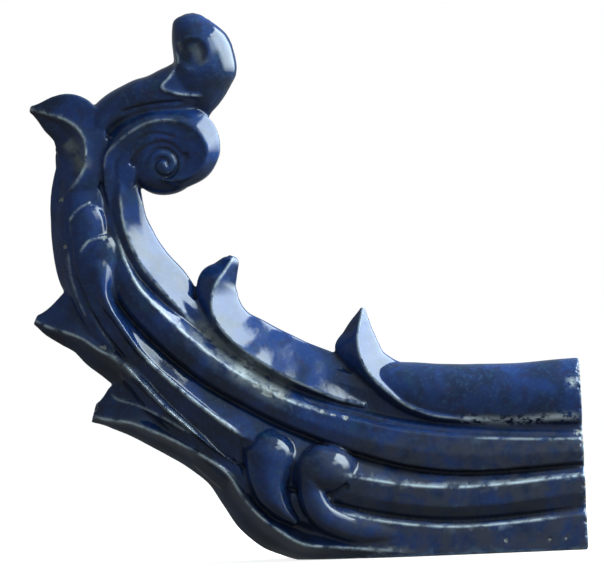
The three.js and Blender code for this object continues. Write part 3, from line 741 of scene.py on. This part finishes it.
def glaze():
    """Deep cobalt glaze: darker in hollows (pooled glaze and painted shade) and on downward faces (painted
    shade), thin and paler on edges, pale crest lines (thin glaze and painted highlights), with rain dirt,
    painted reflections and a few chips.
    """
    n = Nodes("cobalt_glaze")
    cloud = n.fit(n.noise(38, 3, 0.55, 0.4), 0.36, 0.64)
    grain = n.noise(5, 5, 0.65)
    colour = n.mix(cloud, NAVY, COBALT)
    colour = n.mix(n.fit(grain, 0.48, 0.74, 0, 0.6), colour, THIN_BLUE)
    colour = n.mix(n.fit(n.noise(13, 5, 0.65, 0.6), 0.5, 0.66, 0, 0.5), colour, PLUM)
    colour = n.mix(n.fit(n.noise(17, 5, 0.65, 0.6), 0.54, 0.7, 0, 0.55), colour, TEAL)
    colour = n.mix(n.broken("lower", n.fit(n.noise(16, 5, 0.6), 0.34, 0.62, 0.1, 0.85)), colour, SLATE)
    # Painted shade: darker in hollows, partly pooled glaze, and on faces that look downward, with less
    # specular there
    pooled_glaze_and_shade = n.math("MULTIPLY", n.math("MAXIMUM", n.share("hollow"), n.share("under")), 0.7)
    colour = n.mix(pooled_glaze_and_shade, colour, POOLED_GLAZE_AND_SHADE)
    colour = n.mix(n.broken("edge", n.fit(n.noise(7, 3), 0.35, 0.65, 0.2, 0.8)), colour, EDGE_BLUE)
    # Painted highlights and thin glaze: pale lines along crests, mouldings and carved lines
    colour = n.mix(n.broken("crest", n.fit(n.noise(12, 4, 0.6), 0.32, 0.58)), colour, CREST_GLAZE_AND_HIGHLIGHT)
    # Dirt, and painted reflections in the bud's hollow and the top leaf's scoop
    dirt_and_reflection = n.broken("dust_and_reflection", n.fit(n.noise(14, 5, 0.6), 0.3, 0.58))
    colour = n.mix(dirt_and_reflection, colour, DIRT_AND_REFLECTION_GREY)
    colour = n.mix(n.broken("pale", n.fit(n.noise(6, 4, 0.6), 0.4, 0.52)), colour, PALE)
    chip = n.fit(n.math("SUBTRACT", n.share("chip"), n.fit(n.noise(3, 4, 0.7), 0.3, 0.7, 0, 0.7)), 0.1, 0.25)
    colour = n.mix(chip, colour, CHIPPED)
    clay = n.mix(n.noise(3, 6, 0.7), CLAY_DARK, CLAY)
    colour = n.mix(n.share("bare"), colour, clay)
    n.link(colour, n.shader.inputs["Base Color"])

    dull = n.math("MAXIMUM", n.math("MULTIPLY", dirt_and_reflection, 0.55), n.math("MULTIPLY", chip, 0.6))
    dull = n.math("MAXIMUM", dull, n.math("MULTIPLY", n.share("bare"), 0.85))
    gloss = n.fit(n.noise(22, 4, 0.6), 0.35, 0.7, 0.06, 0.16)
    n.link(n.math("MAXIMUM", dull, gloss), n.shader.inputs["Roughness"])
    n.link(n.fit(pooled_glaze_and_shade, 0.2, 0.9, 0.5, 0.3), n.shader.inputs["Specular IOR Level"])
    n.shader.inputs["IOR"].default_value = 1.55

    ripple = n.add("ShaderNodeBump")
    ripple.inputs["Strength"].default_value = 0.25
    ripple.inputs["Distance"].default_value = 0.5 * MM
    n.link(n.noise(11, 3, 0.5), ripple.inputs["Height"])
    pores = n.add("ShaderNodeBump")
    pores.inputs["Strength"].default_value = 0.2
    pores.inputs["Distance"].default_value = 0.2 * MM
    n.link(grain, pores.inputs["Height"])
    n.link(ripple.outputs["Normal"], pores.inputs["Normal"])
    n.link(pores.outputs["Normal"], n.shader.inputs["Normal"])
    return n.material


body = fused_body()
mark_surface(body.data)
body.data.materials.clear()
body.data.materials.append(glaze())
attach(body, "root")
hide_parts(NODE)


def pale_floor():
    bpy.ops.mesh.primitive_plane_add(size=FLOOR_WIDTH, location=(0, 0, -FLOOR_DROP))
    floor = bpy.context.object
    floor.name = "floor"
    material = bpy.data.materials.new("pale_floor")
    material.use_nodes = True
    shader = material.node_tree.nodes["Principled BSDF"]
    shader.inputs["Base Color"].default_value = (*FLOOR_GREY, 1)
    shader.inputs["Roughness"].default_value = 0.9
    shader.inputs["Emission Color"].default_value = (1, 1, 1, 1)
    shader.inputs["Emission Strength"].default_value = FLOOR_GLOW
    floor.data.materials.append(material)
    floor.visible_glossy = False
    floor.visible_diffuse = False


def softbox(name, place, outer, inner, brightness, layers):
    """A soft light that fades toward its sides and its foot: layers, the smaller ones in front."""
    toward = (CENTRE - Vector(place)).normalized()
    turn = toward.to_track_quat("-Z", "Y")
    for k in range(layers):
        share = k / (layers - 1)
        width, height = (a + share * (b - a) for a, b in zip(outer, inner))
        data = bpy.data.lights.new(name, "AREA")
        data.shape = "RECTANGLE"
        data.size, data.size_y = width, height
        data.energy = brightness / layers * math.pi * width * height
        data.color = SKY
        obj = bpy.data.objects.new(name, data)
        level_top = turn @ Vector((0, (outer[1] - height) / 2, 0))
        obj.location = Vector(place) + toward * k * LAYER_STEP + level_top
        obj.rotation_euler = turn.to_euler()
        bpy.context.scene.collection.objects.link(obj)


def studio_world():
    """Soft light that grows from the lower left to the right, brightest at the upper right; white behind."""
    world = bpy.data.worlds.new("studio")
    bpy.context.scene.world = world
    world.use_nodes = True
    tree = world.node_tree
    way = tree.nodes.new("ShaderNodeTexCoord").outputs["Generated"]

    def share_toward(direction, start, end):
        toward = tree.nodes.new("ShaderNodeVectorMath")
        toward.operation = "DOT_PRODUCT"
        toward.inputs[1].default_value = Vector(direction).normalized()
        share = tree.nodes.new("ShaderNodeMapRange")
        share.interpolation_type = "SMOOTHSTEP"
        share.inputs["From Min"].default_value = start
        share.inputs["From Max"].default_value = end
        tree.links.new(way, toward.inputs[0])
        tree.links.new(toward.outputs["Value"], share.inputs["Value"])
        return share.outputs["Result"]

    def mixed(share, first, second):
        mix = tree.nodes.new("ShaderNodeMix")
        mix.data_type = "RGBA"
        tree.links.new(share, mix.inputs["Factor"])
        mix.inputs["B"].default_value = (*second, 1)
        if isinstance(first, tuple):
            mix.inputs["A"].default_value = (*first, 1)
        else:
            tree.links.new(first, mix.inputs["A"])
        return mix.outputs["Result"]

    colour = mixed(share_toward(ROOM_FROM, -0.9, 0.6), SHADE, ROOM)
    colour = mixed(share_toward(GLOW_FROM, 0.3, 1), colour, GLOW)
    colour = mixed(tree.nodes.new("ShaderNodeLightPath").outputs["Is Camera Ray"], colour, (1, 1, 1))
    tree.links.new(colour, tree.nodes["Background"].inputs["Color"])


def camera():
    data = bpy.data.cameras.new("camera")
    data.sensor_width = 36
    data.lens = data.sensor_width * CAMERA_DISTANCE / FRAME_WIDTH
    obj = bpy.data.objects.new("camera", data)
    obj.matrix_world = (Matrix.Translation(CENTRE - Vector((0, CAMERA_DISTANCE, 0)))
                        @ Matrix.Rotation(math.radians(90), 4, "X")
                        @ Matrix.Rotation(math.radians(-CAMERA_ROLL), 4, "Z"))
    bpy.context.scene.collection.objects.link(obj)
    bpy.context.scene.camera = obj


pale_floor()
softbox("key", *KEY)
softbox("front", *FRONT)
studio_world()
camera()
bpy.context.scene.view_settings.view_transform = "Standard"

bpy.context.view_layer.update()
